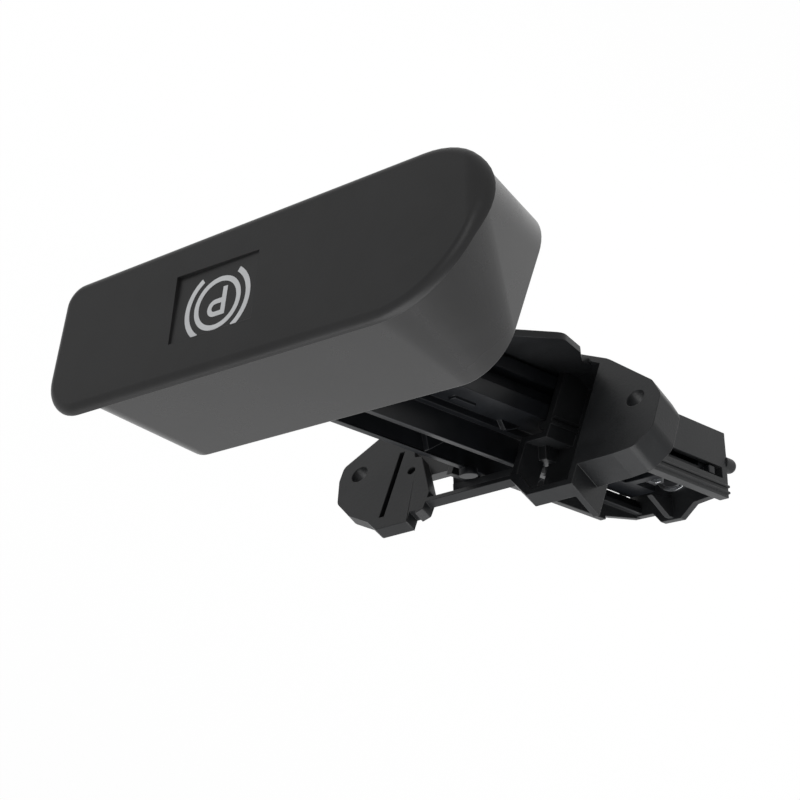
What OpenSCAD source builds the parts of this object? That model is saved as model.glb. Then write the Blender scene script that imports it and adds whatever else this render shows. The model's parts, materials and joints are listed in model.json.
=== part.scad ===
// Parking brake release handle: a hollow pull grip on a slide arm that runs in a guide housing
// with two screw ears. X is across the dashboard, Y points into it, Z is up.
// The origin lies half way between the two ear screw holes, on the front of the ears.

/* [Mounting ears] */
// Distance between the two ear screw holes
ear_pitch = 74.4; // [72:0.2:78]
// Diameter of each ear screw hole
ear_bore = 4.3; // [3.4:0.1:5.2]
// Thickness of the right-hand ear
flange_t = 3.2; // [2.8:0.1:3.8]
// Depth of the left-hand ear's rim
ear_rim_d = 8; // [7:0.1:10]
// Thickness of that rim
ear_rim_t = 1.7; // [1.2:0.1:2.4]
// Width of the slit beside the right-hand ear hole
slit_w = 1.3; // [0.8:0.1:2]
// Length of that slit
slit_len = 19; // [12:0.5:20]

/* [Slide] */
// Angle between the slide direction and the line square to the ears
slide_tilt = 26.8; // [22:0.2:30]
// Sideways place of the slide axis on the ears' front plane
axis_x = -2; // [-4:0.1:0]
// Height of the slide axis on the ears' front plane
axis_z = -6; // [-8:0.1:-5]
// How far the handle can be pulled out
travel = 17; // [14:0.5:17.5]

/* [Guide channel] */
// Inner width of the channel
chan_w = 22.8; // [22.4:0.1:23.6]
// Thickness of the channel's walls
chan_wall = 1.6; // [1.4:0.1:2]
// Length of the channel behind the ears
chan_len = 69.4; // [66:0.2:74]
// Height of the left wall's top over the slide axis
near_top = 6.5; // [6.2:0.1:7]
// Height of the right wall's top over the slide axis
far_top = 9.6; // [9:0.1:10.4]
// Depth of the channel's floor under the slide axis
floor_h = 7.9; // [7.7:0.1:8.4]
// Height of the side slots
side_slot_h = 2.6; // [2.2:0.1:3]
// Height of the side slots' middle over the slide axis
side_slot_z = 0.7; // [0.5:0.1:0.9]
// Inward width of the lips that keep the arm down
lip_w = 1.5; // [1.2:0.1:1.6]
// How far the floor reaches out in front of the mouth
tongue_len = 24; // [18:0.5:26]

/* [Slide arm] */
// Play at each side of the arm in the channel
side_play = 0.4; // [0.3:0.05:0.6]
// Depth of the lower beam's underside below the slide axis
arm_low = 7.2; // [7:0.1:7.2]
// Height of the lower beam's top over the slide axis
arm_mid = 4; // [3.6:0.1:4.2]
// Height of the upper beam's top over the slide axis
arm_top = 11.7; // [11:0.1:12]
// Width of the upper beam
arm_up_w = 10.5; // [9.5:0.1:11]
// Height of the grooves along the arm's sides
arm_groove_h = 4.1; // [3.4:0.1:4.4]
// Depth of those grooves
arm_groove_d = 3.2; // [2.6:0.1:3.6]
// Thickness of the arm's ribs
arm_rib = 1.6; // [1.2:0.1:1.8]
// Space between the arm's rear end and the rear end of the channel
arm_back_gap = 4.9; // [4.8:0.1:5.4]
// Length of the arm's tail behind its upper beam
arm_tail = 37.5; // [35:0.5:41]

/* [Grip] */
// Distance along the slide from the ears to the grip's face
grip_out = 89.6; // [86:0.2:94]
// Angle of the grip's face to the plane square to the slide
face_lean = 11.4; // [8:0.2:14]
// Depth of the grip shell along the slide
shell_d = 27.6; // [24:0.2:30]
// Thickness of the grip shell's walls
shell_wall = 2.2; // [1.8:0.1:2.6]
// Thickness of the face cover with the rim that plugs into the shell
cover_t = 4.4; // [4:0.1:5]
// Depth of the seam between the face cover and the shell
seam_d = 2.2; // [1.8:0.1:2.6]
// Thickness of the face cover's skin
cover_skin = 2; // [1.6:0.1:2.4]
// Radius of the face cover's rolled edge
cover_roll = 2; // [1.4:0.1:2.2]
// How far the face cover stands over the shell's edge all round
cover_over = 0.6; // [0.4:0.1:1.2]
// How far the face cover reaches past the shell's right-hand end
cover_end_over = 7.2; // [6:0.1:9]
// Rise of the face's upper edge over the slide axis
face_up = 12.7; // [12:0.1:14]
// Drop of the face's lower edge under the slide axis, at its left end
face_down = 23.3; // [22:0.1:26]
// Distance from the slide axis to the face's right-hand end
face_right = 51.4; // [48:0.2:54]
// Distance from the slide axis to the face's upper left corner
face_left = 54.6; // [52:0.2:57]
// Lean of the face's left-hand end
face_left_lean = 9.7; // [8:0.1:12]
// Depth of the symbol's sunk panel at its deepest corner
panel_d = 0.7; // [0.5:0.1:0.9]

/* [Return spring] */
// Outer diameter of the return spring
spring_od = 7.6; // [7:0.1:8]
// Diameter of its wire
spring_wire = 0.9; // [0.8:0.05:1.1]
// Number of its turns
spring_turns = 13; // [9:1:15]
// Diameter of the rod through it
rod_d = 4.4; // [4:0.1:4.8]

/* [Cable end] */
// Bore of the cable gland
gland_bore = 5.2; // [4.8:0.1:5.6]
// Outer diameter of the cable gland's barrel
gland_d = 8.4; // [7.8:0.1:8.8]

/* [Hidden] */
// Space left between pieces that move past each other
run_gap = 0.35;
// Space left round a piece that is clipped in
seat_gap = 0.05;
arc_step = 9;

// Size of the blocks that only trim others
trim = 200;

arm_w = chan_w - 2 * side_play;
arm_rear = chan_len - arm_back_gap;
arm_up_rear = arm_rear - arm_tail;
chan_in = chan_w / 2;
chan_out = chan_in + chan_wall;
groove_z0 = side_slot_z - 0.6 - arm_groove_h;

// Lugs on the arm's rear end, and the front end of the side slots that stops them
lug_len = 2.4;
pull_pad_t = 1.2;
slot_front = arm_rear - lug_len - travel - run_gap - pull_pad_t;

// Corner rounding: the points of one arc between two edges of an outline
function unit(v) = v / norm(v);
function corner_arc(a, b, c, r, k = 0) =
    let(u = unit(a - b), v = unit(c - b),
        half = acos(min(1, max(-1, u * v))) / 2,
        w = unit(u + v),
        m = b + w * (r / sin(half)),
        p = b + u * (r / tan(half)),
        q = b + v * (r / tan(half)),
        a0 = atan2(p[1] - m[1], p[0] - m[0]),
        a1 = atan2(q[1] - m[1], q[0] - m[0]),
        turn = (a1 - a0 + 540) % 360 - 180,
        n = k > 0 ? k : max(2, ceil(abs(turn) / arc_step)))
    [for (i = [0:n]) m + r * [cos(a0 + turn * i / n), sin(a0 + turn * i / n)]];

// An outline from corners, each given as [x, y, radius], with k steps in each round where k is given
function rounded(c, k = 0) =
    let(n = len(c))
    [for (i = [0:n - 1])
        let(a = c[(i + n - 1) % n], b = c[i], d = c[(i + 1) % n])
        each (b[2] > 0
            ? corner_arc([a[0], a[1]], [b[0], b[1]], [d[0], d[1]], b[2], k)
            : [[b[0], b[1]]])];

// Plane of the ears: outlines in X and Z, thickness into the dashboard from y0
module on_ears(y0, t) {
    translate([0, y0 + t, 0]) rotate([90, 0, 0]) linear_extrude(t) children();
}

// Slide frame: X across, Y back along the slide, Z square to it
module on_slide() {
    translate([axis_x, 0, axis_z]) rotate([-slide_tilt, 0, 0]) children();
}

// Grip frame: Y back from the grip's face, X and Z in the face
module on_grip() {
    on_slide() translate([0, -grip_out, 0]) rotate([face_lean, 0, 0]) children();
}

// A block from corner to corner
module block(p, q) {
    translate([min(p[0], q[0]), min(p[1], q[1]), min(p[2], q[2])])
        cube([abs(q[0] - p[0]), abs(q[1] - p[1]), abs(q[2] - p[2])]);
}

// An outline across the slide, X and Z, drawn from y0 to y1
module along(y0, y1) {
    translate([0, y1, 0]) rotate([90, 0, 0]) linear_extrude(y1 - y0) children();
}

// An outline seen from above, X and Y, drawn from z0 to z1
module layer(z0, z1) {
    translate([0, 0, z0]) linear_extrude(z1 - z0) children();
}

// An outline seen from the side, Y and Z, drawn from x0 to x1
module side_on(x0, x1) {
    translate([x0, 0, 0]) rotate([90, 0, 90]) linear_extrude(x1 - x0) children();
}

// A round bar along Y
module bar_y(x, y0, y1, z, d, fn = 32) {
    translate([x, y0, z]) rotate([-90, 0, 0]) cylinder(d = d, h = y1 - y0, $fn = fn);
}

// Ears and mouth frame
ear_x = ear_pitch / 2;
pocket_l = -26.2;
frame_t = 1.6;
rail_z = 13.2;
rail_t = 1.3;
rail_d = 2.4;
pocket_top = 20.6;
pocket_side = -15.2;
pocket_low = -18.9;
pocket_d = 11;
right_ear = [[14, 11.4, 0], [14.2, 16.3, 0.6], [16.9, 17.4, 0.5], [17.9, 19.1, 0.5], [26.6, 19.1, 0.8],
    [30, 15.9, 1], [36.5, 12.3, 3], [41.2, 7.6, 2.5], [43, 0.5, 3], [42.9, -3.6, 2], [35, -9.9, 2], [30.4, -12.4, 1.5], [27.6, -11, 1], [26, -5.5, 1],
    [22.3, -2.7, 0.5], [21.7, -0.7, 0.4], [19.7, -0.3, 0.5]];
left_ear = [[pocket_l, -15.2, 0], [-27.4, -14.4, 0.6], [-40.4, -4.4, 3], [-43.7, 0.4, 3], [-44, 10, 4],
    [-40, 14.4, 3], [-35, 15, 1], [pocket_l, 15.2, 0]];

module ear_holes() {
    for (side = [-1, 1]) translate([side * ear_x, -1, 0]) rotate([-90, 0, 0])
        cylinder(d = ear_bore, h = ear_rim_d + 2, $fn = 36);
}

// Left ear: a face with a rim that goes back all round
module rimmed_ear() {
    difference() {
        on_ears(0, ear_rim_d) polygon(rounded(left_ear));
        on_ears(flange_t, ear_rim_d) offset(delta = -ear_rim_t) polygon(rounded(left_ear));
    }
}

// Slit, small hole and notch of the right-hand ear
module ear_cuts() {
    slit_x = ear_x - 11.2;
    slit_top = 15.6;
    block([slit_x - slit_w / 2, -1, slit_top - slit_len], [slit_x + slit_w / 2, web_y, slit_top]);
    translate([slit_x - 4.6, -1, 3.4]) rotate([-90, 0, 0]) cylinder(d = 2, h = web_y + 1, $fn = 24);
    block([16.3, -1, 16.4], [17.9, flange_t + 1, 22]);
}

// Box of the pocket beside the mouth: return wall, back plate, top wall and its slope to the rail
module mouth_pocket() {
    block([pocket_l, 0, pocket_side], [pocket_l + frame_t, pocket_d, pocket_top]);
    on_ears(0, pocket_d) polygon([[pocket_l, pocket_side], [-18.6, pocket_low], [axis_x - chan_out + 0.4, pocket_low],
        [axis_x - chan_out + 0.4, pocket_low + frame_t], [-18.2, pocket_low + frame_t],
        [pocket_l, pocket_side + 1.8]]);
    on_ears(0, 4) polygon([[pocket_l, pocket_top - frame_t], [-15.2, pocket_top - frame_t], [-10.6, rail_z],
        [-8.6, rail_z], [-8.6, rail_z + rail_t], [-14.4, pocket_top], [pocket_l, pocket_top]]);
    intersection() {
        on_ears(pocket_d - 1.8, 1.8) polygon([[pocket_l, pocket_side], [-18.6, pocket_low],
            [axis_x - step_x, pocket_low], [axis_x - step_x, 9.4], [pocket_l, 9.4]]);
        on_slide() union() {
            block([-trim, -trim, -trim], [-chan_out + 0.4, trim, step_z]);
            block([-trim, -trim, near_top], [-step_x, trim, trim]);
        }
    }
}

// Web between the right ear and the channel, set back from the ear's face
web_y = 2.8;
module ear_web() {
    intersection() {
        block([axis_x + chan_out - 0.4, web_y, -15], [30, web_y + 3.6, 6]);
        on_slide() block([0, -trim, -floor_h - chan_wall], [trim, trim, far_top]);
    }
}

// Side walls of the channel, with the lips over the lower beam; the right one slopes down to the rear
module channel_walls() {
    lip_z = arm_mid + run_gap;
    along(-8, chan_len) polygon([[-chan_out, -floor_h - chan_wall], [-chan_in, -floor_h - chan_wall],
        [-chan_in, lip_z], [-chan_in + lip_w, lip_z], [-chan_in + lip_w, near_top - 0.8],
        [-chan_in + lip_w - 0.6, near_top], [-chan_out, near_top]]);
    difference() {
        along(-8, chan_len) polygon([[chan_out, -floor_h - chan_wall], [chan_in, -floor_h - chan_wall],
            [chan_in, lip_z], [chan_in - lip_w, lip_z], [chan_in - lip_w, lip_z + 1.4],
            [chan_in, lip_z + 1.4], [chan_in, far_top], [chan_out, far_top]]);
        translate([chan_in - 1, chan_len - 15.4, far_top - 0.8]) rotate([-9.5, 0, 0]) cube([chan_wall + 2, 30, 6]);
    }
    // two fine ridges along the left wall's outer side
    for (z = [near_top - 1.5, near_top - 3]) block([-chan_out - 0.5, -8, z], [-chan_out, chan_len, z + 0.6]);
}

// Stepped frame of the mouth over the channel's walls, and the seats of the bridge
step_z = 8.9;
step_x = 7.5;
step_y = 10;
bridge_y0 = 0.6;
bridge_y1 = 5.4;
bridge_z = arm_top + run_gap;
module mouth_steps() {
    block([-chan_out, -8, near_top - 1], [-chan_in, step_y, step_z]);
    block([-chan_out, -8, step_z - frame_t], [-step_x + frame_t, step_y, step_z]);
    block([-step_x - 2, bridge_y0, step_z - frame_t], [pad_left - 0.8, bridge_y1, bridge_z]);
    block([chan_in, -8, far_top - 1], [chan_out, bridge_y1, bridge_z]);
    block([chan_in, bridge_y0 + 0.4, 6], [chan_out + 3, bridge_y1 - 0.4, bridge_z]);
    // round boss on the inner side of the right wall
    translate([chan_in - 0.9, 1.8, 9.4]) rotate([0, 90, 0]) cylinder(d = 4, h = 1.4, $fn = 32);
}

// Floor of the channel and the lip that it makes in front of the mouth
module channel_floor() {
    layer(-floor_h - chan_wall, -floor_h) polygon(rounded([[-chan_out, chan_len, 0], [-chan_out, 9, 0],
        [-19.5, 8, 0], [-19.5, 1.5, 0.8], [-22.4, -3, 1.5], [-24.8, -12.5, 3.5], [-16.4, -tongue_len, 5],
        [12, -tongue_len, 5], [chan_out, -13, 8], [chan_out, chan_len, 0]]));
}

module guide_housing() {
    color("#26282b") difference() {
        union() {
            on_ears(0, flange_t) polygon(rounded(right_ear));
            rimmed_ear();
            mouth_pocket();
            ear_web();
            block([-8.8, 0, rail_z], [15.4, rail_d, rail_z + rail_t]);
            intersection() {
                block([-trim, 0.5, -trim], [trim, trim, trim]);
                on_slide() {
                    channel_walls();
                    mouth_steps();
                }
            }
            // upper side wall of the mouth
            intersection() {
                block([-20, 0.5, -10], [0, 7.8, rail_z + 0.2]);
                on_slide() block([-step_x, -20, step_z - 0.4], [-step_x + frame_t, 20, 20]);
            }
            on_slide() {
                channel_floor();
                rear_seat();
                // round peg on the rear end of the left wall
                bar_y(peg_x, chan_len - 0.2, chan_len + peg_l, -2.3, peg_d, 24);
                translate([peg_x, chan_len + peg_l, -2.3]) sphere(d = peg_d, $fn = 24);
            }
        }
        ear_holes();
        ear_cuts();
        on_slide() {
            // side slots of the lugs
            for (side = [-1, 1]) block([side * (chan_out + 1), slot_front, side_slot_z - side_slot_h / 2],
                [side * (chan_in - 1), seat_y, side_slot_z + side_slot_h / 2]);
            // seat of the spring's anchor plate in the floor
            block([-anchor_w / 2, anchor_y - seat_gap, -floor_h - chan_wall - 1],
                [anchor_w / 2, anchor_y + anchor_t + seat_gap, -floor_h + 1]);
            // holes of the bridge's screws
            for (x = bridge_screw_x) translate([x, bridge_mid, bridge_z - 3]) cylinder(d = 1.8, h = 4, $fn = 24);
        }
    }
}

// Rear wall with the arch that holds the cable gland
gland_z = -2.7;
seat_y = chan_len - 2.2;
peg_d = 3.6;
peg_l = 2.9;
peg_x = -chan_out + 1.3;
module rear_seat() {
    along(seat_y, chan_len) difference() {
        polygon([[-chan_out, -floor_h - chan_wall], [chan_out, -floor_h - chan_wall], [chan_out, 6.2], [6.8, 6.4],
            [4.8, 8.9], [-0.8, 9.1], [-4.6, 6.1], [-chan_out, 5.2]]);
        translate([0, gland_z]) circle(d = gland_d + 2 * seat_gap, $fn = 36);
    }
    // web in front of the arch
    side_on(1.2, 2.6)
        polygon([[seat_y + 0.1, 3.4], [seat_y + 0.1, 8.6], [seat_y - 1.6, 8.6], [seat_y - 8.8, 4.8]]);
}

// Cross piece over the arm behind the top rail, with a pocket for the pad under it
bridge_t = 1.6;
bridge_mid = (bridge_y0 + bridge_y1) / 2;
bridge_screw_x = [-4.2, chan_out + 0.8];
head_d = 3.2;
head_sink = 0.8;
pad_left = -1.5;
pad_right = 9;
pad_top = bridge_z + 0.8;
module guide_bridge() {
    color("#1d1e20") on_slide() difference() {
        block([-step_x + frame_t + 0.1, bridge_y0, bridge_z], [chan_out + 2.8, bridge_y1, bridge_z + bridge_t]);
        block([pad_left, bridge_y0 + 1, bridge_z - 1], [pad_right, bridge_y1 - 1, pad_top]);
        for (x = bridge_screw_x) translate([x, bridge_mid, 0]) {
            translate([0, 0, bridge_z - 1]) cylinder(d = 2, h = bridge_t + 2, $fn = 24);
            translate([0, 0, bridge_z + bridge_t - head_sink]) cylinder(d = head_d + 0.1, h = 2, $fn = 32);
        }
    }
}

module bridge_screws() {
    color("#8d9094") on_slide() for (x = bridge_screw_x) translate([x, bridge_mid, 0]) {
        translate([0, 0, bridge_z + bridge_t - head_sink]) cylinder(d = head_d, h = 1.2, $fn = 32);
        translate([0, 0, bridge_z - 3]) cylinder(d = 1.8, h = bridge_t + 2.4, $fn = 24);
    }
}

// Soft pad over the arm's ribs that keeps it from rattling
module rattle_pad() {
    color("#18191a") on_slide()
        block([pad_left, bridge_y0 + 1, bridge_z - seat_gap], [pad_right, bridge_y1 - 1, pad_top]);
}

// The arm's section across the slide
module arm_section(upper = true) {
    w = arm_w / 2;
    g = w - arm_groove_d;
    z0 = groove_z0;
    z1 = groove_z0 + arm_groove_h;
    left = pad_left;
    right = left + arm_up_w;
    polygon(concat(
        [[-w, -arm_low], [w, -arm_low], [w, z0], [g, z0], [g, z1], [w, z1], [w, arm_mid]],
        upper ? [[right, arm_mid], [right, arm_top], [right - arm_rib, arm_top], [right - arm_rib, 7.4],
            [left + arm_rib, 7.4], [left + arm_rib, arm_top], [left, arm_top], [left, 5.6],
            [left - arm_rib, 5.6], [left - arm_rib, arm_mid]] : [],
        [[-w, arm_mid], [-w, z1], [-g, z1], [-g, z0], [-w, z0]]));
}

spring_z = -2.7;
anchor_y = 8;
anchor_t = 1.5;
anchor_w = 9.2;
spring_wall_y = arm_rear - 10.5;
yoke_y = spring_wall_y + 2.6;
yoke_w = 8;
pin_y = yoke_y + 2.6;
pin_l = 14;
groove_w = 10.4;
groove_top = 1.8;
tail_y = arm_rear - 24.5;
tail_top = 2.2;
arm_up_front = -64;

// Wedges beside and in the upper beam, the nub on the lower beam and the round knob on the right rib
knob_y = -4.2;
module arm_details() {
    side_on(pad_left - arm_rib - 1.2, pad_left - arm_rib + 0.1)
        polygon([[-8.2, arm_mid - 0.1], [-6.5, arm_mid + 2], [-0.2, arm_mid - 0.1]]);
    side_on(pad_right - arm_rib - 1.2, pad_right - arm_rib + 0.1)
        polygon([[-21.4, 7.3], [-20.4, 11.4], [-15, 8.4], [-15, 7.3]]);
    block([-6.8, -27.8, arm_mid - 0.1], [-4.9, -20.4, arm_mid + 0.7]);
    translate([pad_right - 1.1, knob_y, arm_top - 0.2]) cylinder(d = 4.2, h = 1.7, $fn = 32);
}

module slide_arm() {
    color("#202226") difference() {
        union() {
            intersection() {
                on_slide() along(-grip_out - 10, tail_y) arm_section(false);
                on_grip() block([-trim, cover_t + shell_wall, -trim], [trim, trim, trim]);
            }
            on_slide() {
                difference() {
                    along(arm_up_front, arm_up_rear) arm_section();
                    // sloped rear end of the upper beam
                    translate([-20, arm_up_rear - 9, arm_top]) rotate([-38, 0, 0]) cube([40, 40, 12]);
                }
                block([-arm_w / 2, tail_y - 1, -arm_low], [arm_w / 2, arm_rear, tail_top]);
                arm_details();
                // lugs that run in the side slots
                block([-chan_out + run_gap, arm_rear - lug_len, side_slot_z - side_slot_h / 2 + run_gap],
                    [chan_out - run_gap, arm_rear, side_slot_z + side_slot_h / 2 - run_gap]);
            }
        }
        on_slide() {
            // spring groove under the arm, open at the top in the tail
            block([-groove_w / 2, 2, -arm_low - 1], [groove_w / 2, spring_wall_y, groove_top]);
            block([-groove_w / 2, tail_y, -1], [groove_w / 2, spring_wall_y, tail_top + 1]);
            // seat of the hook plate behind the spring wall
            block([-yoke_w / 2, yoke_y, -arm_low - 1], [yoke_w / 2, arm_rear + 1, tail_top + 1]);
            // grooves along the tail's sides
            for (side = [-1, 1]) block([side * (arm_w / 2 + 1), tail_y - 1, groove_z0],
                [side * (arm_w / 2 - arm_groove_d), arm_rear - lug_len - 2, groove_z0 + arm_groove_h]);
            // coring pockets under the front part
            for (y = [-70:12:-22]) block([-groove_w / 2, y, -arm_low - 1], [groove_w / 2, y + 9.6, groove_top]);
            bar_y(0, spring_wall_y - 3, yoke_y + 1, spring_z, rod_d, 36);
            translate([-pin_l / 2, pin_y, gland_z]) rotate([0, 90, 0]) cylinder(d = pin_d, h = pin_l, $fn = 24);
        }
        on_grip() for (x = screw_x) bar_y(x, cover_t, screw_end, screw_z, screw_d, 32);
    }
}

// Outline of the grip in its face plane, pulled in by d
function face_corners(d, right) = [
    [-face_left + d, face_up - d, 25 - d], [right - d, face_up - 1 - d, 8.5 - min(d, 7)],
    [right - 2.2 - d, -face_down + 4.3 + d, 5 - min(d, 3.6)],
    [-face_left - face_left_lean + d, -face_down + d, 15 - d]];

// One ring of a moulding's wall: four rounded corners at depth y
ring_steps = 11;
function ring(y, corners) = [for (p = rounded(corners, ring_steps)) [p[0], y, p[1]]];

// A closed body through rings of the same number of points, closed flat at its first and last ring
module skin(rings) {
    n = len(rings[0]);
    m = len(rings);
    sides = [for (i = [0:m - 2]) for (j = [0:n - 1]) let(k = (j + 1) % n)
        each [[i * n + j, i * n + k, (i + 1) * n + k], [i * n + j, (i + 1) * n + k, (i + 1) * n + j]]];
    ends = [[for (j = [n - 1:-1:0]) j], [for (j = [0:n - 1]) (m - 1) * n + j]];
    polyhedron(points = [for (r = rings) each r], faces = concat(sides, ends), convexity = 6);
}

// Outline of the shell's rim, pulled in by d
shell_right = face_right - cover_end_over;
rim_right = shell_right - 4.4;
rim_up = face_up - 1.3;
rim_down = face_down + 1.9;
rim_left = face_left - 11.9;
function rim_corners(d) = [
    [-rim_left + d, rim_up - d, 12 - d], [rim_right - d, rim_up - 1.6 - d, 7 - d],
    [rim_right - 1.4 - d, -rim_down + 2.7 + d, 5 - d], [-rim_left - 9.9 + d, -rim_down + d, 8.5 - d]];

// How far the cover's rim lies inside its outline
plug_in = cover_over + shell_wall - 0.4;

screw_x = [-5, 5];
screw_z = -1.5;
screw_d = 3;
screw_hold = 8;
screw_end = cover_t + shell_wall + screw_hold;
module grip_shell() {
    back = cover_t + shell_d * cos(face_lean);
    color("#2b2d30") on_grip() difference() {
        skin([
            ring(cover_t, face_corners(plug_in - seat_gap, shell_right)),
            ring(seam_d, face_corners(plug_in - seat_gap, shell_right)),
            ring(seam_d, face_corners(cover_over, shell_right)),
            ring(back, rim_corners(0)),
            ring(back, rim_corners(shell_wall)),
            ring(cover_t + shell_wall, face_corners(cover_over + shell_wall, shell_right))]);
        for (x = screw_x) bar_y(x, cover_t - 1, cover_t + shell_wall + 1, screw_z, screw_d + 0.4, 32);
    }
}

module grip_face() {
    rim_t = 1.4;
    color("#323335") on_grip() difference() {
        skin(concat(
            [for (a = [0:18:90]) ring(cover_roll * (1 - cos(a)), face_corners(cover_roll * (1 - sin(a)), face_right))],
            [ring(seam_d, face_corners(0, face_right)),
            ring(seam_d, face_corners(plug_in, shell_right)),
            ring(cover_t, face_corners(plug_in, shell_right)),
            ring(cover_t, face_corners(plug_in + rim_t, shell_right)),
            ring(cover_skin, face_corners(plug_in + rim_t, shell_right))]));
        // sunk panel round the symbol
        translate([17.4, panel_d, -12.2]) rotate([0, 0, 1.7]) translate([-27, -3, 0]) cube([27, 3, 15.6]);
    }
}

// Folded sheet clips between the face cover and the shell
module face_clips() {
    sheet = 0.5;
    clip_x = [-0.72 * face_left, 0.55 * face_right];
    color("#9a9da1") on_grip() for (x = clip_x) translate([x, 0, 0]) difference() {
        block([-3, cover_skin, -4], [3, cover_t, 4]);
        block([-4, cover_skin + sheet, -4 + sheet], [4, cover_t - sheet, 5]);
    }
}

module grip_screws() {
    head_t = 1.8;
    color("#8d9094") on_grip() for (x = screw_x) {
        bar_y(x, cover_t - head_t, cover_t, screw_z, 6, 32);
        bar_y(x, cover_t - 0.1, screw_end, screw_z, screw_d, 32);
    }
}

// Coil of round wire round the Y axis, with its turns worked out point by point
module coil(r, wire, y0, y1, turns, steps = 16, sides = 6) {
    n = round(turns * steps);
    rise = (y1 - y0 - wire) / n;
    pts = [for (i = [0:n]) let(a = i * 360 / steps, y = y0 + wire / 2 + rise * i)
        for (j = [0:sides - 1]) let(b = j * 360 / sides, q = r + wire / 2 * cos(b))
            [q * cos(a), y + wire / 2 * sin(b), q * sin(a)]];
    walls = [for (i = [0:n - 1]) for (j = [0:sides - 1])
        let(k = (j + 1) % sides)
        [i * sides + j, i * sides + k, (i + 1) * sides + k, (i + 1) * sides + j]];
    ends = [[for (j = [sides - 1:-1:0]) j], [for (j = [0:sides - 1]) n * sides + j]];
    polyhedron(points = pts, faces = concat(walls, ends), convexity = 8);
}

module return_spring() {
    color("#a9adb1") on_slide() translate([0, 0, spring_z])
        coil((spring_od - spring_wire) / 2, spring_wire, anchor_y + anchor_t + 0.7, spring_wall_y - 0.3, spring_turns);
}

module spring_rod() {
    color("#b4b7ba") on_slide() bar_y(0, 4, yoke_y, spring_z, rod_d, 36);
}

// Forked plate that stands in the floor and holds the spring's front end
module spring_anchor() {
    color("#85888c") on_slide() along(anchor_y, anchor_y + anchor_t) difference() {
        translate([-anchor_w / 2, -floor_h - chan_wall]) square([anchor_w, floor_h + chan_wall + 0.6]);
        translate([0, spring_z]) circle(d = rod_d + 2 * run_gap, $fn = 36);
        translate([-rod_d / 2 - run_gap, spring_z]) square([rod_d + 2 * run_gap, 8]);
    }
}

module spring_washer() {
    color("#85888c") on_slide() difference() {
        bar_y(0, anchor_y + anchor_t, anchor_y + anchor_t + 0.6, spring_z, spring_od, 36);
        bar_y(0, anchor_y, anchor_y + anchor_t + 2, spring_z, rod_d + 2 * run_gap, 36);
    }
}

// Bent hook plate in the arm's tail, with a keyhole for the cable's end
pin_d = 2;
module cable_yoke() {
    sheet = 1.2;
    side_x = yoke_w / 2 - 0.1;
    low = -arm_low + 0.4;
    rear = arm_rear - 0.4;
    key_w = 2.4;
    color("#9a9da1") on_slide() difference() {
        union() {
            for (side = [-1, 1]) block([side * side_x, yoke_y, low], [side * (side_x - sheet), rear, 0.8]);
            block([-side_x, rear - 1.4, low], [side_x, rear, 0.8]);
        }
        bar_y(0, rear - 3, rear + 1, gland_z, key_w, 24);
        block([-key_w / 2, rear - 3, gland_z], [key_w / 2, rear + 1, 4]);
        translate([-pin_l / 2, pin_y, gland_z]) rotate([0, 90, 0]) cylinder(d = pin_d + 0.1, h = pin_l, $fn = 24);
    }
}

module yoke_pin() {
    color("#b4b7ba") on_slide() translate([-pin_l / 2, pin_y, gland_z]) rotate([0, 90, 0])
        cylinder(d = pin_d, h = pin_l, $fn = 24);
}

// Flanged barrel where the cable's conduit ends
module cable_gland() {
    color("#3a3c40") on_slide() difference() {
        union() {
            bar_y(0, seat_y - 1, chan_len + 4, gland_z, gland_d, 36);
            bar_y(0, chan_len, chan_len + 1.6, gland_z, gland_d + 2.6, 36);
        }
        bar_y(0, seat_y - 3, chan_len + 6, gland_z, gland_bore, 36);
    }
}

// Ring on the gland's front end that holds it in the arch
module gland_clip() {
    color("#9a9da1") on_slide() difference() {
        bar_y(0, seat_y - 0.8, seat_y, gland_z, gland_d + 1.8, 36);
        bar_y(0, seat_y - 3, seat_y + 3, gland_z, gland_d + seat_gap, 36);
    }
}

// Soft pads where the arm stops at rest and where its lugs stop when pulled
module rest_buffer() {
    color("#18191a") on_slide() for (side = [-1, 1])
        block([side * (chan_in - 0.6), arm_rear + 0.3, -6.4], [side * 5.8, seat_y, -1.4]);
}

module pull_buffer() {
    color("#18191a") on_slide() for (side = [-1, 1])
        block([side * (chan_out - 0.2), slot_front, side_slot_z - side_slot_h / 2],
            [side * chan_in, slot_front + pull_pad_t, side_slot_z + side_slot_h / 2]);
}

// Low-friction strips on the floor
module glide_pads() {
    color("#c9c7bd") on_slide() for (side = [-1, 1])
        block([side * (arm_w / 2 - 1.2), anchor_y + 4, -floor_h],
            [side * (groove_w / 2 + 1.4), arm_rear - 4.5, -arm_low - 0.3]);
}

guide_housing();
guide_bridge();
bridge_screws();
slide_arm();
grip_shell();
grip_face();
face_clips();
grip_screws();
return_spring();
spring_rod();
spring_anchor();
spring_washer();
cable_yoke();
yoke_pin();
cable_gland();
gland_clip();
rest_buffer();
pull_buffer();
glide_pads();
rattle_pad();
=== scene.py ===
import json
from math import pi, radians, tan

import bmesh
import bpy
from mathutils import Matrix, Vector


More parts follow.
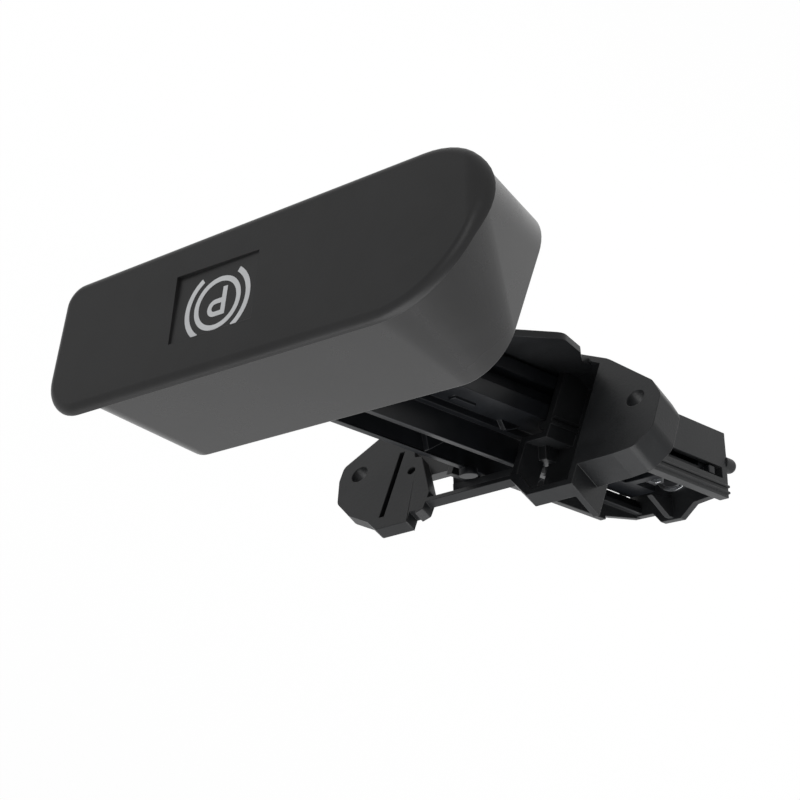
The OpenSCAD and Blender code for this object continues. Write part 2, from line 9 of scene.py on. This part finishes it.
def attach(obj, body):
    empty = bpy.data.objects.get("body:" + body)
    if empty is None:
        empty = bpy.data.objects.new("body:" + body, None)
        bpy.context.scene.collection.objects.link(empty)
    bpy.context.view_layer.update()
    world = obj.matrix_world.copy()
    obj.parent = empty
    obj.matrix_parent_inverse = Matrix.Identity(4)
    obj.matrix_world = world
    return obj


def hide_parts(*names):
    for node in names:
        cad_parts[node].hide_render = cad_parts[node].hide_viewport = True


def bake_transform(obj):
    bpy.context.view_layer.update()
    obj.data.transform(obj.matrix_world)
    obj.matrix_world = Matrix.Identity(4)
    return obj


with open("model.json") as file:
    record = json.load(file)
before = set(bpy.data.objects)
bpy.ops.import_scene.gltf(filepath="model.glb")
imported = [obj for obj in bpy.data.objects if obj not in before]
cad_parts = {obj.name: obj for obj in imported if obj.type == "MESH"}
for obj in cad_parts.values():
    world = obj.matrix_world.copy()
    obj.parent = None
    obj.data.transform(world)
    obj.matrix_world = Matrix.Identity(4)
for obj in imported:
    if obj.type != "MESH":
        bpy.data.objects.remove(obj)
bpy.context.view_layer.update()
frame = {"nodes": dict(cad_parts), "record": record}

MM = 0.001

# Slide frame: X across, Y back along the slide, Z square to it. Grip frame: Y back from the grip's face.
SLIDE = Matrix.Translation((-2, 0, -6)) @ Matrix.Rotation(radians(-26.8), 4, "X")
GRIP = SLIDE @ Matrix.Translation((0, -89.6, 0)) @ Matrix.Rotation(radians(11.4), 4, "X")


# ---- Finishes ----

def new_group(name, inputs, outputs):
    """An empty shader node group with named inputs (name, kind, value) and outputs (name, kind)."""
    group = bpy.data.node_groups.new(name, "ShaderNodeTree")
    for label, kind, value in inputs:
        socket = group.interface.new_socket(label, in_out="INPUT", socket_type=kind)
        socket.default_value = value
    for label, kind in outputs:
        group.interface.new_socket(label, in_out="OUTPUT", socket_type=kind)
    return group, group.nodes.new("NodeGroupInput"), group.nodes.new("NodeGroupOutput")


def add(tree, kind, **values):
    """A node with its plain settings, or its input sockets by name, set from values."""
    node = tree.nodes.new(kind)
    for key, value in values.items():
        if key in node.bl_rna.properties and key != "label":
            setattr(node, key, value)
        else:
            node.inputs[key.replace("_", " ")].default_value = value
    return node


def make_moulded_surface():
    """Grain, soft blotches and handling marks of moulded plastic."""
    group, into, out = new_group("moulded surface", [
        ("Colour", "NodeSocketColor", (0.03, 0.03, 0.03, 1)),
        ("Pale Colour", "NodeSocketColor", (0.06, 0.06, 0.06, 1)),
        ("Grain Scale", "NodeSocketFloat", 3000.0),
        ("Blotch Scale", "NodeSocketFloat", 60.0),
        ("Roughness Low", "NodeSocketFloat", 0.35),
        ("Roughness High", "NodeSocketFloat", 0.5)],
        [("Colour", "NodeSocketColor"), ("Roughness", "NodeSocketFloat"), ("Height", "NodeSocketFloat")])
    coords = add(group, "ShaderNodeTexCoord")
    link = group.links.new
    grain = add(group, "ShaderNodeTexNoise", Detail=3.0, Roughness=0.6)
    link(coords.outputs["Object"], grain.inputs["Vector"])
    link(into.outputs["Grain Scale"], grain.inputs["Scale"])
    pits = add(group, "ShaderNodeTexVoronoi", feature="SMOOTH_F1", Smoothness=0.6)
    link(coords.outputs["Object"], pits.inputs["Vector"])
    link(into.outputs["Grain Scale"], pits.inputs["Scale"])
    height = add(group, "ShaderNodeMath", operation="MULTIPLY_ADD")
    height.inputs[1].default_value = 0.6
    link(grain.outputs["Fac"], height.inputs[0])
    link(pits.outputs["Distance"], height.inputs[2])
    link(height.outputs[0], out.inputs["Height"])
    blotch = add(group, "ShaderNodeTexNoise", Detail=5.0, Roughness=0.62, Distortion=0.4)
    link(coords.outputs["Object"], blotch.inputs["Vector"])
    link(into.outputs["Blotch Scale"], blotch.inputs["Scale"])
    spread = add(group, "ShaderNodeMapRange")
    spread.inputs["From Min"].default_value = 0.35
    spread.inputs["From Max"].default_value = 0.72
    link(blotch.outputs["Fac"], spread.inputs["Value"])
    tint = add(group, "ShaderNodeMix", data_type="RGBA")
    link(spread.outputs["Result"], tint.inputs["Factor"])
    link(into.outputs["Colour"], tint.inputs["A"])
    link(into.outputs["Pale Colour"], tint.inputs["B"])
    link(tint.outputs["Result"], out.inputs["Colour"])
    gloss = add(group, "ShaderNodeMix", data_type="FLOAT")
    link(spread.outputs["Result"], gloss.inputs["Factor"])
    link(into.outputs["Roughness Low"], gloss.inputs["A"])
    link(into.outputs["Roughness High"], gloss.inputs["B"])
    link(gloss.outputs["Result"], out.inputs["Roughness"])
    return group


def make_plated_surface():
    """Fine drawn lines and cloudy plating of small steel pieces."""
    group, into, out = new_group("plated surface", [
        ("Colour", "NodeSocketColor", (0.5, 0.5, 0.5, 1)),
        ("Dull Colour", "NodeSocketColor", (0.35, 0.35, 0.36, 1)),
        ("Line Scale", "NodeSocketFloat", 900.0)],
        [("Colour", "NodeSocketColor"), ("Roughness", "NodeSocketFloat"), ("Height", "NodeSocketFloat")])
    link = group.links.new
    coords = add(group, "ShaderNodeTexCoord")
    stretch = add(group, "ShaderNodeMapping")
    stretch.inputs["Scale"].default_value = (1.0, 0.08, 1.0)
    link(coords.outputs["Object"], stretch.inputs["Vector"])
    lines = add(group, "ShaderNodeTexNoise", Detail=4.0, Roughness=0.7)
    link(stretch.outputs["Vector"], lines.inputs["Vector"])
    link(into.outputs["Line Scale"], lines.inputs["Scale"])
    link(lines.outputs["Fac"], out.inputs["Height"])
    cloud = add(group, "ShaderNodeTexNoise", Scale=180.0, Detail=3.0, Roughness=0.55)
    link(coords.outputs["Object"], cloud.inputs["Vector"])
    tint = add(group, "ShaderNodeMix", data_type="RGBA")
    link(cloud.outputs["Fac"], tint.inputs["Factor"])
    link(into.outputs["Colour"], tint.inputs["A"])
    link(into.outputs["Dull Colour"], tint.inputs["B"])
    link(tint.outputs["Result"], out.inputs["Colour"])
    gloss = add(group, "ShaderNodeMapRange")
    gloss.inputs["To Min"].default_value = 0.26
    gloss.inputs["To Max"].default_value = 0.46
    link(cloud.outputs["Fac"], gloss.inputs["Value"])
    link(gloss.outputs["Result"], out.inputs["Roughness"])
    return group


MOULDED = make_moulded_surface()
PLATED = make_plated_surface()


def finish_of(name, group, values, bump, bump_depth, **shader):
    """A material whose colour, roughness and bump come from a node group."""
    mat = bpy.data.materials.new(name)
    mat.use_nodes = True
    tree = mat.node_tree
    tree.nodes.clear()
    surface = add(tree, "ShaderNodeBsdfPrincipled")
    for key, value in shader.items():
        surface.inputs[key.replace("_", " ")].default_value = value
    result = add(tree, "ShaderNodeOutputMaterial")
    tree.links.new(surface.outputs["BSDF"], result.inputs["Surface"])
    detail = add(tree, "ShaderNodeGroup", node_tree=group)
    for key, value in values.items():
        detail.inputs[key].default_value = value
    tree.links.new(detail.outputs["Colour"], surface.inputs["Base Color"])
    tree.links.new(detail.outputs["Roughness"], surface.inputs["Roughness"])
    relief = add(tree, "ShaderNodeBump", Strength=bump, Distance=bump_depth)
    tree.links.new(detail.outputs["Height"], relief.inputs["Height"])
    tree.links.new(relief.outputs["Normal"], surface.inputs["Normal"])
    mat.diffuse_color = values.get("Colour", (0.5, 0.5, 0.5, 1))
    return mat


def plastic(name, colour, pale, low, high, grain=2600.0, blotch=70.0, bump=0.25, depth=0.00004, **shader):
    return finish_of(name, MOULDED, {
        "Colour": (*colour, 1), "Pale Colour": (*pale, 1), "Grain Scale": grain, "Blotch Scale": blotch,
        "Roughness Low": low, "Roughness High": high}, bump, depth, **shader)


def plated(name, colour, dull, lines=900.0, bump=0.2):
    return finish_of(name, PLATED, {"Colour": (*colour, 1), "Dull Colour": (*dull, 1), "Line Scale": lines},
                     bump, 0.00003, Metallic=1.0)


cover_finish = plastic("cover satin", (0.0115, 0.0115, 0.0118), (0.016, 0.016, 0.0165), 0.36, 0.43,
                       blotch=55.0, Specular_IOR_Level=0.2)
grip_finish = plastic("grip satin", (0.0135, 0.0135, 0.0138), (0.0175, 0.0175, 0.018), 0.24, 0.3,
                      blotch=40.0, bump=0.12, Specular_IOR_Level=0.27)
housing_finish = plastic("housing grain", (0.0085, 0.009, 0.0098), (0.014, 0.0148, 0.0158), 0.36, 0.48,
                         grain=1900.0, bump=0.35, Specular_IOR_Level=0.2)
arm_finish = plastic("arm smooth", (0.005, 0.0056, 0.0068), (0.009, 0.0098, 0.0115), 0.3, 0.42, bump=0.15,
                     Specular_IOR_Level=0.16)
gland_finish = plastic("gland smooth", (0.045, 0.047, 0.05), (0.06, 0.062, 0.066), 0.35, 0.45)
glide_finish = plastic("glide strip", (0.5, 0.49, 0.44), (0.6, 0.59, 0.54), 0.35, 0.5, bump=0.1)
pad_finish = plastic("pad rubber", (0.015, 0.015, 0.016), (0.03, 0.03, 0.03), 0.7, 0.85, grain=1500.0, bump=0.6)
mark_finish = plastic("mark print", (0.52, 0.53, 0.54), (0.6, 0.61, 0.62), 0.5, 0.6, bump=0.1)
zinc_finish = plated("zinc plate", (0.56, 0.57, 0.58), (0.42, 0.43, 0.45))
wire_finish = plated("drawn wire", (0.5, 0.51, 0.52), (0.36, 0.37, 0.39), lines=1500.0)


# ---- Making pieces ----

def put(name, bm, finish, body, nodes=(), place=None, crease=34, flat_faces=True):
    """Makes a bmesh, drawn in millimetres, into a finished piece that rides on a body."""
    if place is not None:
        bm.transform(place)
    bmesh.ops.scale(bm, vec=(MM, MM, MM), verts=bm.verts)
    mesh = bpy.data.meshes.new(name)
    bm.to_mesh(mesh)
    bm.free()
    for polygon in mesh.polygons:
        polygon.use_smooth = True
    mesh.set_sharp_from_angle(angle=radians(crease))
    mesh.materials.append(finish)
    obj = bpy.data.objects.new(name, mesh)
    bpy.context.scene.collection.objects.link(obj)
    if flat_faces:
        even = obj.modifiers.new("even shading", "WEIGHTED_NORMAL")
        even.keep_sharp = True
        even.weight = 60
    if body:
        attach(obj, body)
    if nodes:
        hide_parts(*nodes)
    return obj


def merged(node):
    """A copy of a CAD solid in millimetres, with its triangles joined into whole faces."""
    bm = bmesh.new()
    bm.from_mesh(frame["nodes"][node].data)
    bmesh.ops.scale(bm, vec=(1 / MM, 1 / MM, 1 / MM), verts=bm.verts)
    bmesh.ops.remove_doubles(bm, verts=bm.verts, dist=0.002)
    bmesh.ops.dissolve_limit(bm, angle_limit=radians(0.6), verts=bm.verts, edges=bm.edges)
    return bm


def rounded_edges(bm, size, steps=2, angle=40):
    """Rounds every edge sharper than angle."""
    sharp = [e for e in bm.edges if len(e.link_faces) == 2 and e.calc_face_angle(0) > radians(angle)
             and e.calc_length() > 0.02]
    bmesh.ops.bevel(bm, geom=sharp, offset=size, offset_type="OFFSET", segments=steps, profile=0.5,
                    affect="EDGES", material=-1, clamp_overlap=False)


def moulding(node, name, finish, body, edge, steps=2):
    """A CAD solid with its edges rounded as a mould leaves them."""
    bm = merged(node)
    rounded_edges(bm, edge, steps)
    return put(name, bm, finish, body, [node])


BODY = {node: body for body, nodes in frame["record"]["behaviour"]["bodies"].items() for node in nodes}

for node, finish, edge in (
        ("guide_housing", housing_finish, 0.16), ("guide_bridge", housing_finish, 0.12),
        ("slide_arm", arm_finish, 0.18),
        ("spring_anchor", zinc_finish, 0.1), ("spring_washer", zinc_finish, 0.06),
        ("spring_rod", zinc_finish, 0.25), ("cable_yoke", zinc_finish, 0.12),
        ("yoke_pin", zinc_finish, 0.15), ("cable_gland", gland_finish, 0.2),
        ("gland_clip", wire_finish, 0.08), ("rest_buffer", pad_finish, 0.25),
        ("pull_buffer", pad_finish, 0.12), ("glide_pads", glide_finish, 0.08),
        ("rattle_pad", pad_finish, 0.15), ("face_clips", wire_finish, 0.06),
        ("bridge_screws", zinc_finish, 0.15), ("grip_screws", zinc_finish, 0.2)):
    moulding(node, node + "_finished", finish, BODY[node], edge)


# ---- Grip: cover, shell and mark, drawn in the grip frame (x, depth, height in the face) ----

# Depths behind the face: seam between cover and shell, cover's plug, shell's rear rim; shell wall
SEAM = 2.2
PLUG = 4.4
BACK = 31.46
WALL = 2.2
ROLL = 2.0
# Right-hand ends of cover and shell, and how far the shell is pulled in under the cover
FACE_RIGHT = 51.4
SHELL_RIGHT = 44.2
SHELL_INSET = 0.6
# Sides of the sunk panel and how deep it gets along each of its two directions
PANEL_LEFT, PANEL_RIGHT = -4.3, 17.4
PANEL_LOW, PANEL_TOP = -12.2, 3.4
PANEL_SINK = 0.4
# Line across the cover where its left-hand end starts to fall back, the line's lean, and the fall
BEND_X, BEND_W = -55.3, -16.5
BEND_LEAN = 0.113
BEND_FALL = 0.38
# How near a vertex lies to a flat it belongs to
FLAT = 0.001


def face_corners(inset, right):
    """The face's four corners with their radii, pulled in by inset."""
    return [(-54.6 + inset, 12.7 - inset, 25 - inset), (right - inset, 11.7 - inset, 8.5 - inset),
            (right - 2.2 - inset, -19 + inset, 5 - inset), (-63.5 + inset, -23.3 + inset, 15 - inset)]


def rim_corners(inset):
    """The four corners of the shell's rear rim with their radii, pulled in by inset."""
    return [(-42.7 + inset, 11.4 - inset, 12 - inset), (39.8 - inset, 9.8 - inset, 7 - inset),
            (38.4 - inset, -22.5 + inset, 5 - inset), (-52.6 + inset, -25.2 + inset, 8.5 - inset)]


def outline(bm, corners, depth, steps=14):
    """A flat face with rounded corners; gives back the face and its edges."""
    before = set(bm.edges)
    verts = [bm.verts.new((x, depth, w)) for x, w, _ in corners]
    bmesh.ops.contextual_create(bm, geom=verts)
    points = [Vector((x, w)) for x, w, _ in corners]
    for i, vert in enumerate(verts):
        along = points[i - 1] - points[i]
        onward = points[(i + 1) % len(points)] - points[i]
        offset = corners[i][2] / tan(along.angle(onward) / 2)
        bmesh.ops.bevel(bm, geom=[vert], offset=offset, offset_type="OFFSET", segments=steps, profile=0.5,
                        affect="VERTICES", material=-1)
    edges = [e for e in bm.edges if e not in before]
    return edges[0].link_faces[0], edges


def droop(x, w):
    """How far the cover's left-hand end falls back behind the flat face."""
    past = BEND_X - BEND_LEAN * (w - BEND_W) - x
    if past <= -1:
        return 0.0
    return BEND_FALL * ((past + 1) ** 2 / 4 if past < 1 else past)


def panel_depth(x, w):
    """Depth of the sunk panel's slanting floor."""
    across = (x - PANEL_LEFT) / (PANEL_RIGHT - PANEL_LEFT)
    down = (PANEL_TOP - w) / (PANEL_TOP - PANEL_LOW)
    return PANEL_SINK * across + PANEL_SINK * down


def flat_faces_at(bm, holds):
    """Faces whose corners all have a depth that holds says yes to."""
    return [f for f in bm.faces if all(holds(v.co.y) for v in f.verts)]


def is_front(depth):
    return depth < FLAT / 2


def is_back(depth):
    return depth > SEAM - FLAT


def cut(bm, faces, point, normal):
    """Cuts the faces by a plane without taking anything away."""
    edges = [e for f in faces for e in f.edges]
    verts = [v for f in faces for v in f.verts]
    geom = list(dict.fromkeys([*faces, *edges, *verts]))
    bmesh.ops.bisect_plane(bm, geom=geom, dist=0.0001, plane_co=point, plane_no=normal)


def grip_cover():
    bm = bmesh.new()
    face, _ = outline(bm, face_corners(0, FACE_RIGHT), SEAM)
    pulled = bmesh.ops.extrude_face_region(bm, geom=[face])["geom"]
    front = [v for v in pulled if isinstance(v, bmesh.types.BMVert)]
    bmesh.ops.translate(bm, verts=front, vec=(0, -SEAM, 0))
    bmesh.ops.recalc_face_normals(bm, faces=bm.faces)
    rim = [e for e in bm.edges if all(v.co.y < FLAT for v in e.verts)]
    bmesh.ops.bevel(bm, geom=rim, offset=ROLL, offset_type="OFFSET", segments=7, profile=0.5,
                    affect="EDGES", material=-1)
    back_edges = list(dict.fromkeys(e for f in flat_faces_at(bm, is_back) for e in f.edges))
    bmesh.ops.bevel(bm, geom=back_edges, offset=0.16, offset_type="OFFSET", segments=2, profile=0.5,
                    affect="EDGES", material=-1)
    bmesh.ops.inset_region(bm, faces=flat_faces_at(bm, is_back), thickness=1.3, depth=-0.7)
    for x in (PANEL_LEFT, PANEL_RIGHT):
        cut(bm, flat_faces_at(bm, is_front), (x, 0, 0), (1, 0, 0))
    for w in (PANEL_LOW, PANEL_TOP):
        cut(bm, flat_faces_at(bm, is_front), (0, 0, w), (0, 0, 1))
    panel = [f for f in flat_faces_at(bm, is_front)
             if PANEL_LEFT < f.calc_center_median().x < PANEL_RIGHT
             and PANEL_LOW < f.calc_center_median().z < PANEL_TOP]
    bmesh.ops.inset_region(bm, faces=panel, thickness=0.12)
    for vert in {v for f in panel for v in f.verts}:
        vert.co.y += panel_depth(vert.co.x, vert.co.z)
    for side in (1, 0, -1):
        cut(bm, [f for f in bm.faces if f.calc_center_median().x < -40],
            (BEND_X + side, 0, BEND_W), (1, 0, BEND_LEAN))
    for vert in bm.verts:
        vert.co.y += droop(vert.co.x, vert.co.z)
    put("grip_cover", bm, cover_finish, BODY["grip_face"], ["grip_face"], GRIP,
        crease=30)


def grip_body():
    bm = bmesh.new()
    front_face, front = outline(bm, face_corners(SHELL_INSET, SHELL_RIGHT), SEAM)
    rim_face, rim = outline(bm, rim_corners(0), BACK)
    mouth_face, mouth = outline(bm, rim_corners(WALL), BACK)
    _, floor = outline(bm, face_corners(SHELL_INSET + WALL, SHELL_RIGHT), PLUG + WALL)
    bmesh.ops.delete(bm, geom=[rim_face, mouth_face], context="FACES_ONLY")
    for one, other in ((front, rim), (rim, mouth), (mouth, floor)):
        bmesh.ops.bridge_loops(bm, edges=one + other)
    bmesh.ops.recalc_face_normals(bm, faces=bm.faces)
    bmesh.ops.bevel(bm, geom=rim + mouth, offset=0.7, offset_type="OFFSET", segments=4, profile=0.5,
                    affect="EDGES", material=-1)
    for vert in bm.verts:
        if vert.co.y < PLUG:
            vert.co.y += droop(vert.co.x, vert.co.z)
    lip = [e for e in bm.edges if e.is_valid and any(f == front_face for f in e.link_faces)]
    bmesh.ops.bevel(bm, geom=lip, offset=0.3, offset_type="OFFSET", segments=3, profile=0.5,
                    affect="EDGES", material=-1)
    put("grip_body", bm, grip_finish, BODY["grip_shell"], ["grip_shell"], GRIP,
        crease=38)


def annulus(bm, centre, inner, outer, start, sweep, steps):
    """A flat part of a ring in the face, swept from one edge."""
    x, w = centre
    turn = Matrix.Rotation(radians(start), 3, "Y")
    ends = [bm.verts.new(Vector((x, 0, w)) + turn @ Vector((r, 0, 0))) for r in (inner, outer)]
    edge = bm.edges.new(ends)
    bmesh.ops.spin(bm, geom=[*ends, edge], cent=(x, 0, w), axis=(0, 1, 0), dvec=(0, 0, 0),
                   angle=radians(sweep), steps=steps, use_merge=sweep >= 360, use_duplicate=False)


def bar(bm, x0, x1, w0, w1):
    """A flat rectangle in the face."""
    turn = Matrix.Translation(((x0 + x1) / 2, 0, (w0 + w1) / 2)) @ Matrix.Rotation(pi / 2, 4, "X")
    size = Matrix.Diagonal(((x1 - x0) / 2, (w1 - w0) / 2, 1, 1))
    bmesh.ops.create_grid(bm, x_segments=1, y_segments=1, size=1, matrix=turn @ size)


def parking_mark():
    """The generic parking brake sign: a ring with a P between two brackets."""
    bm = bmesh.new()
    centre = (5.6, -3.0)
    stem, letter_top, letter_low = (3.35, 4.5), 0.0, -6.5
    bowl_centre, bowl_inner, bowl_outer = (6.1, -2.0), 0.9, 2.0
    bowl_x, bowl_w = bowl_centre
    annulus(bm, centre, 5.0, 6.15, 0, 360, 72)
    for start in (-54, 126):
        annulus(bm, centre, 7.45, 8.65, start, 108, 26)
    bar(bm, *stem, letter_low, letter_top)
    bar(bm, stem[1], bowl_x, bowl_w + bowl_inner, bowl_w + bowl_outer)
    bar(bm, stem[1], bowl_x, bowl_w - bowl_outer, bowl_w - bowl_inner)
    annulus(bm, bowl_centre, bowl_inner, bowl_outer, -90, 180, 24)
    bmesh.ops.remove_doubles(bm, verts=bm.verts, dist=0.0005)
    pulled = bmesh.ops.extrude_face_region(bm, geom=list(bm.faces), use_keep_orig=True)["geom"]
    raised = [v for v in pulled if isinstance(v, bmesh.types.BMVert)]
    bmesh.ops.translate(bm, verts=raised, vec=(0, 0.1, 0))
    for vert in bm.verts:
        vert.co.y += panel_depth(vert.co.x, vert.co.z) - 0.05
    bmesh.ops.recalc_face_normals(bm, faces=bm.faces)
    put("parking_mark", bm, mark_finish, BODY["grip_face"], (), GRIP,
        flat_faces=False)


grip_cover()
grip_body()
parking_mark()


# ---- Return spring ----

ROD_HEIGHT = -2.7


def return_spring():
    wire, radius, turns, steps = 0.9, 3.35, 13, 20
    start, end = 10.65, 53.25
    bm = bmesh.new()
    ring = bmesh.ops.create_circle(bm, segments=10, radius=wire / 2)
    bmesh.ops.rotate(bm, verts=ring["verts"], cent=(0, 0, 0), matrix=Matrix.Rotation(pi / 2, 3, "Z"))
    bmesh.ops.translate(bm, verts=ring["verts"], vec=(radius, start, 0))
    count = turns * steps
    bmesh.ops.spin(bm, geom=list(bm.edges), cent=(0, 0, 0), axis=(0, 1, 0), dvec=(0, (end - start) / count, 0),
                   angle=-2 * pi * turns, steps=count, use_merge=False, use_duplicate=False)
    bmesh.ops.holes_fill(bm, edges=[e for e in bm.edges if e.is_boundary], sides=0)
    bmesh.ops.recalc_face_normals(bm, faces=bm.faces)
    place = SLIDE @ Matrix.Translation((0, 0, ROD_HEIGHT))
    coil = put("return_spring_wire", bm, wire_finish, None, ["return_spring"], place,
               flat_faces=False)
    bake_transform(coil)


return_spring()


# ---- Floor, light and camera ----

# How much the sky lights the object, and how far the floor is lifted to plain white where it is seen
SKY_FILL = 0.34
FLOOR_LIFT = 0.94
# Floor's half width and its height below the object, in metres
FLOOR_HALF = 3
FLOOR_Z = -0.16


def seen_rays(tree, plain, special):
    """special for rays that show the background (camera, mirrored, through glass), plain for the light."""
    path = add(tree, "ShaderNodeLightPath")
    both = add(tree, "ShaderNodeMath", operation="MAXIMUM")
    tree.links.new(path.outputs["Is Camera Ray"], both.inputs[0])
    tree.links.new(path.outputs["Is Transmission Ray"], both.inputs[1])
    seen = add(tree, "ShaderNodeMath", operation="MAXIMUM")
    tree.links.new(both.outputs[0], seen.inputs[0])
    tree.links.new(path.outputs["Is Glossy Ray"], seen.inputs[1])
    level = add(tree, "ShaderNodeMapRange", To_Min=plain, To_Max=special)
    tree.links.new(seen.outputs[0], level.inputs["Value"])
    return level.outputs["Result"]


def stage_finish():
    """Pale floor: plain white with the object's shadow wherever the background is seen."""
    mat = bpy.data.materials.new("pale floor")
    mat.use_nodes = True
    tree = mat.node_tree
    tree.nodes.clear()
    paint = add(tree, "ShaderNodeBsdfDiffuse", Color=(0.9, 0.9, 0.9, 1))
    glow = add(tree, "ShaderNodeEmission", Color=(1, 1, 1, 1), Strength=1.0)
    mix = add(tree, "ShaderNodeMixShader")
    tree.links.new(seen_rays(tree, 0.0, FLOOR_LIFT), mix.inputs[0])
    tree.links.new(paint.outputs[0], mix.inputs[1])
    tree.links.new(glow.outputs[0], mix.inputs[2])
    result = add(tree, "ShaderNodeOutputMaterial")
    tree.links.new(mix.outputs[0], result.inputs["Surface"])
    return mat


def make_stage():
    bm = bmesh.new()
    bmesh.ops.create_grid(bm, x_segments=1, y_segments=1, size=FLOOR_HALF)
    bmesh.ops.translate(bm, verts=bm.verts, vec=(0, 0, FLOOR_Z))
    mesh = bpy.data.meshes.new("floor")
    bm.to_mesh(mesh)
    bm.free()
    mesh.materials.append(stage_finish())
    floor = bpy.data.objects.new("floor", mesh)
    bpy.context.scene.collection.objects.link(floor)


def make_world():
    world = bpy.data.worlds.new("studio")
    bpy.context.scene.world = world
    world.use_nodes = True
    tree = world.node_tree
    tree.nodes.clear()
    sky = add(tree, "ShaderNodeBackground", Color=(1, 1, 1, 1))
    tree.links.new(seen_rays(tree, SKY_FILL, 1.0), sky.inputs["Strength"])
    result = add(tree, "ShaderNodeOutputWorld")
    tree.links.new(sky.outputs[0], result.inputs["Surface"])


def lamp(name, place, aim, size, power):
    data = bpy.data.lights.new(name, "AREA")
    data.shape = "RECTANGLE"
    data.size, data.size_y = size
    data.energy = power
    obj = bpy.data.objects.new(name, data)
    obj.location = place
    obj.rotation_euler = (Vector(aim) - Vector(place)).to_track_quat("-Z", "Y").to_euler()
    bpy.context.scene.collection.objects.link(obj)


def make_camera():
    data = bpy.data.cameras.new("camera")
    data.lens = 135
    data.sensor_width = 36
    camera = bpy.data.objects.new("camera", data)
    right = Vector((-0.7858, 0.5676, -0.2455))
    up = Vector((-0.2303, -0.637, -0.7356))
    back = Vector((-0.574, -0.5215, 0.6313))
    turn = Matrix((right, up, back)).transposed().to_4x4()
    camera.matrix_world = Matrix.Translation((-0.3602, -0.3566, 0.4105)) @ turn
    bpy.context.scene.collection.objects.link(camera)
    bpy.context.scene.camera = camera


make_stage()
make_world()
MIDDLE = (0, -0.02, 0)
lamp("overhead", (0.1, 0.1, 0.75), MIDDLE, (0.6, 0.6), 5)
lamp("front fill", (-0.5, -0.7, 0.25), MIDDLE, (0.5, 0.5), 2)
lamp("shell gleam", (-0.15, 0.45, 0.55), (0, -0.06, 0.03), (0.5, 0.22), 2)
make_camera()

scene = bpy.context.scene
scene.view_settings.view_transform = "Standard"
